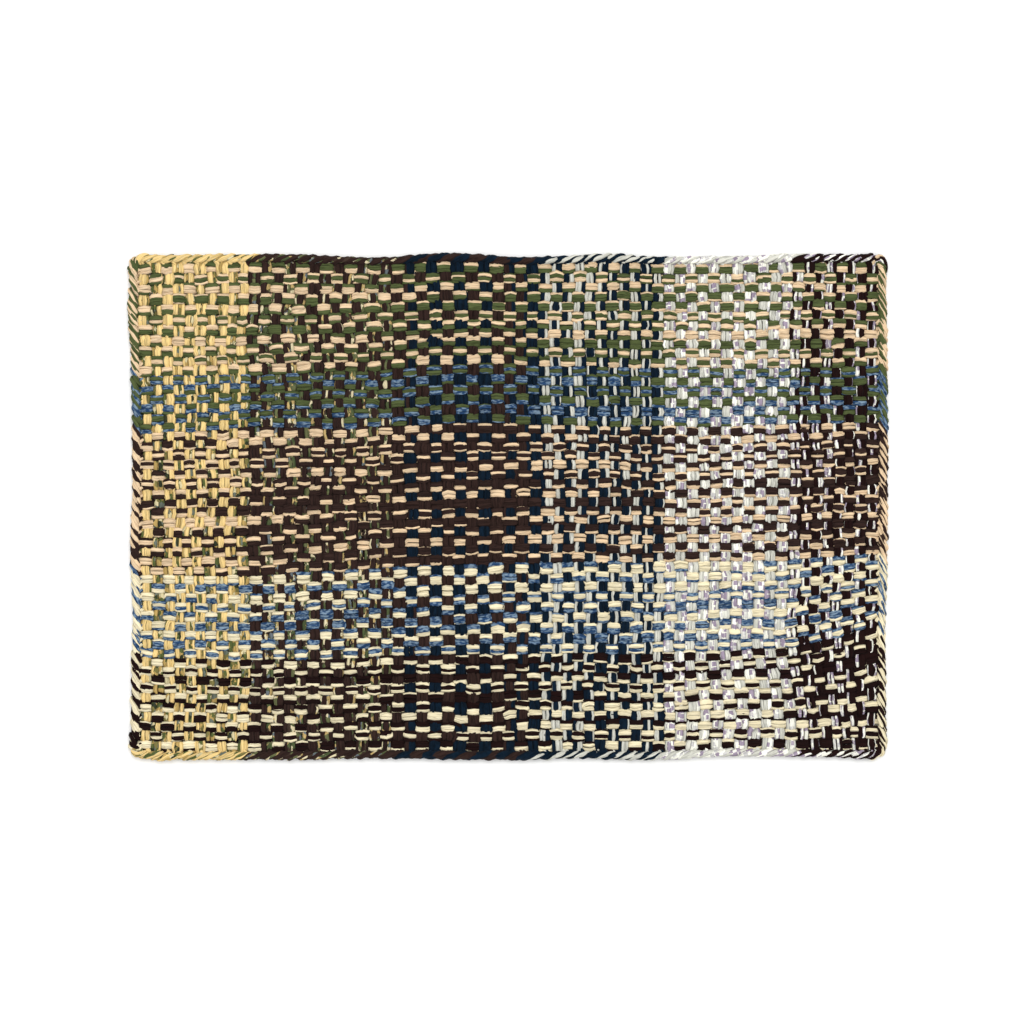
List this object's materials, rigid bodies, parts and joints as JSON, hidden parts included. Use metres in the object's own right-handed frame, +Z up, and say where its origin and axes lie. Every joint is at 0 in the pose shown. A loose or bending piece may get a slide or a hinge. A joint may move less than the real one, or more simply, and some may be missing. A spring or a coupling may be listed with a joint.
{
  "type": "braided rug",
  "caption": "Flat rectangular floor rug, plain woven from bundles of cloth loops in cross bands of colour, with a chained braid along every side and rounded corners.",
  "frame": {"origin": "under the middle of the rug's bounding box, on the surface that it lies on", "axes": "+X along the long side, +Y across the rug along the short side, +Z up out of its top face"},
  "size_m": [0.9144, 0.6096, 0.0105],
  "materials": {
    "woven_field": "loop strips of cotton jersey, plain woven, in cross bands of many colours",
    "edge_braid_front": "cotton loop ends chained into a braid, matt",
    "edge_braid_right": "cotton loop ends chained into a braid, matt",
    "edge_braid_back": "cotton loop ends chained into a braid, matt",
    "edge_braid_left": "cotton loop ends chained into a braid, matt"
  },
  "bodies": {
    "root": {"woven_field": "woven_field", "edge_braid_front": "edge_braid_front", "edge_braid_right": "edge_braid_right", "edge_braid_back": "edge_braid_back", "edge_braid_left": "edge_braid_left"}
  },
  "joints": []
}
